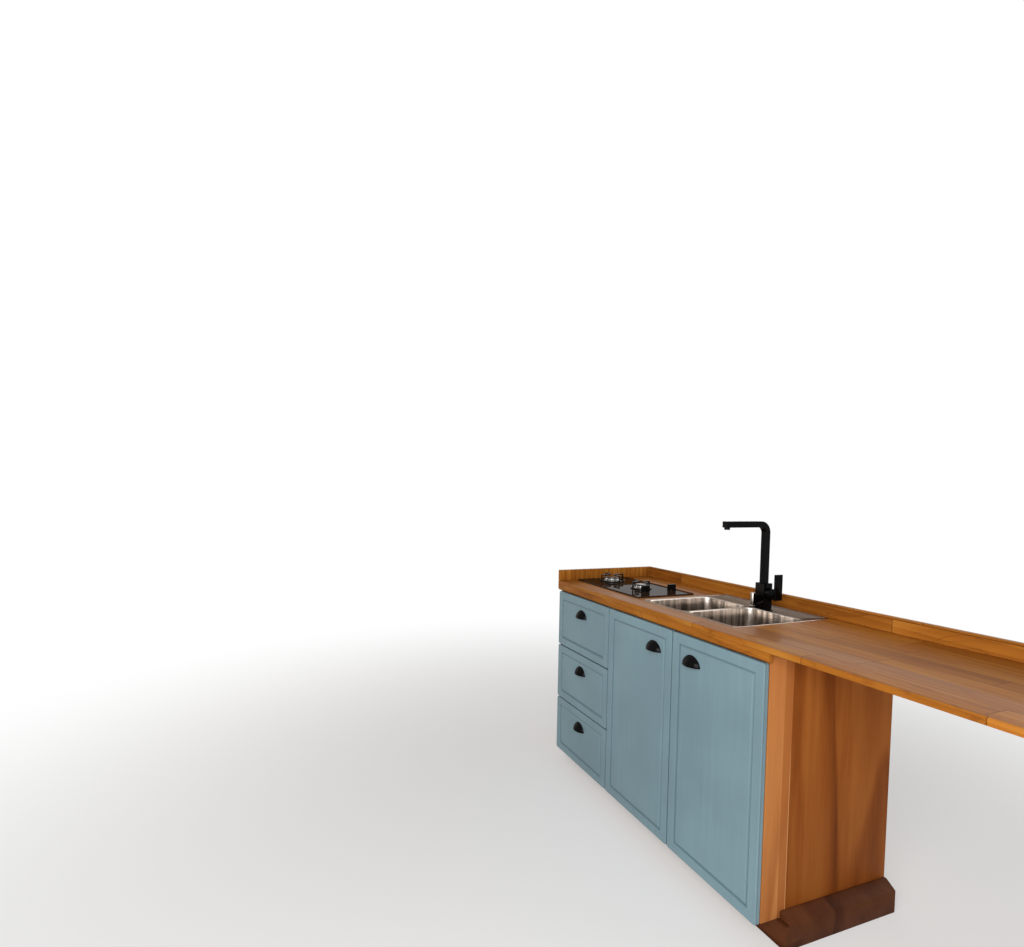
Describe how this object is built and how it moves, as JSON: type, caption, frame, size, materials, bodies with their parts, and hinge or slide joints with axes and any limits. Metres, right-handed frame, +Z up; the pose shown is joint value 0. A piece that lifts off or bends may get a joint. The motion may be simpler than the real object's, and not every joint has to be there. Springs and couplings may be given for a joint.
{
  "type": "fitted kitchenette base unit",
  "caption": "Fitted kitchenette base cabinet with drawers, doors, a pine worktop with upstand, hob, double-bowl sink and mixer tap.",
  "frame": {"origin": "on the floor under the middle of the unit's length and depth", "axes": "+X along the worktop to the right, +Y to the back wall, +Z up"},
  "size_m": [1.88, 0.572, 1.235],
  "materials": {
    "painted_front": "satin paint",
    "pine_worktop": "glossy varnish",
    "plywood_end": "satin varnish",
    "carcass_board": "plain board",
    "plinth_wood": "satin varnish",
    "black_metal": "satin black",
    "runner_steel": "zinc plated",
    "sink_steel": "brushed",
    "hob_glass": "polished black glass",
    "burner_metal": "enamelled",
    "support_metal": "black enamel",
    "waste_chrome": "polished",
    "knob_plastic": "satin"
  },
  "bodies": {
    "cabinet": {"back_panel": "carcass_board", "base_bearers": "carcass_board", "bottom_panel": "carcass_board", "deck_knob": "waste_chrome", "divider": "carcass_board", "drawer_runners": "runner_steel", "end_panel": "plywood_end", "end_stile": "plywood_end", "fascia_rail": "pine_worktop", "hinge_arms": "runner_steel", "hob_burners": "burner_metal", "hob_glass": "hob_glass", "hob_tray": "runner_steel", "pan_supports": "support_metal", "plinth_front": "plinth_wood", "side_panel_left": "carcass_board", "side_skirting": "plinth_wood", "sink": "sink_steel", "sink_wastes": "waste_chrome", "tap_body": "black_metal", "upstand_back": "pine_worktop", "upstand_left": "pine_worktop", "worktop": "pine_worktop"},
    "drawer_top": {"drawer_top_front": "painted_front", "drawer_top_box": "carcass_board", "drawer_top_pull": "black_metal"},
    "drawer_middle": {"drawer_middle_front": "painted_front", "drawer_middle_box": "carcass_board", "drawer_middle_pull": "black_metal"},
    "drawer_bottom": {"drawer_bottom_front": "painted_front", "drawer_bottom_box": "carcass_board", "drawer_bottom_pull": "black_metal"},
    "door_left": {"door_left_panel": "painted_front", "door_left_pull": "black_metal", "door_left_hinges": "runner_steel"},
    "door_right": {"door_right_panel": "painted_front", "door_right_pull": "black_metal", "door_right_hinges": "runner_steel"},
    "knob_front": {"hob_knob_front": "knob_plastic"},
    "knob_back": {"hob_knob_back": "knob_plastic"},
    "spout": {"tap_spout": "black_metal"},
    "lever_hub": {"tap_hub": "black_metal"},
    "lever": {"tap_lever": "black_metal"}
  },
  "joints": [
    {"name": "drawer_top_slide", "type": "slide", "parent": "cabinet", "child": "drawer_top", "axis": [0, -1, 0], "range_m": [0, 0.4]},
    {"name": "drawer_middle_slide", "type": "slide", "parent": "cabinet", "child": "drawer_middle", "axis": [0, -1, 0], "range_m": [0, 0.4]},
    {"name": "drawer_bottom_slide", "type": "slide", "parent": "cabinet", "child": "drawer_bottom", "axis": [0, -1, 0], "range_m": [0, 0.4]},
    {"name": "door_left_hinge", "type": "hinge", "parent": "cabinet", "child": "door_left", "pos_m": [-0.477, -0.262, 0.458], "axis": [0, 0, -1], "range_deg": [0, 90]},
    {"name": "door_right_hinge", "type": "hinge", "parent": "cabinet", "child": "door_right", "pos_m": [0.328, -0.262, 0.458], "axis": [0, 0, 1], "range_deg": [0, 90]},
    {"name": "knob_front_turn", "type": "hinge", "parent": "cabinet", "child": "knob_front", "pos_m": [-0.51, -0.059, 0.91], "axis": [0, 0, 1], "range_deg": [0, 210]},
    {"name": "knob_back_turn", "type": "hinge", "parent": "cabinet", "child": "knob_back", "pos_m": [-0.51, 0.081, 0.91], "axis": [0, 0, 1], "range_deg": [0, 210]},
    {"name": "spout_swivel", "type": "hinge", "parent": "cabinet", "child": "spout", "pos_m": [-0.095, 0.176, 0.999], "axis": [0, 0, 1], "range_deg": [-90, 90]},
    {"name": "lever_turn", "type": "hinge", "parent": "cabinet", "child": "lever_hub", "pos_m": [-0.0737, 0.176, 0.962], "axis": [1, 0, 0], "range_deg": [-35, 35]},
    {"name": "lever_tilt", "type": "hinge", "parent": "lever_hub", "child": "lever", "pos_m": [-0.0334, 0.176, 0.942], "axis": [0, 1, 0], "range_deg": [0, 20]}
  ]
}
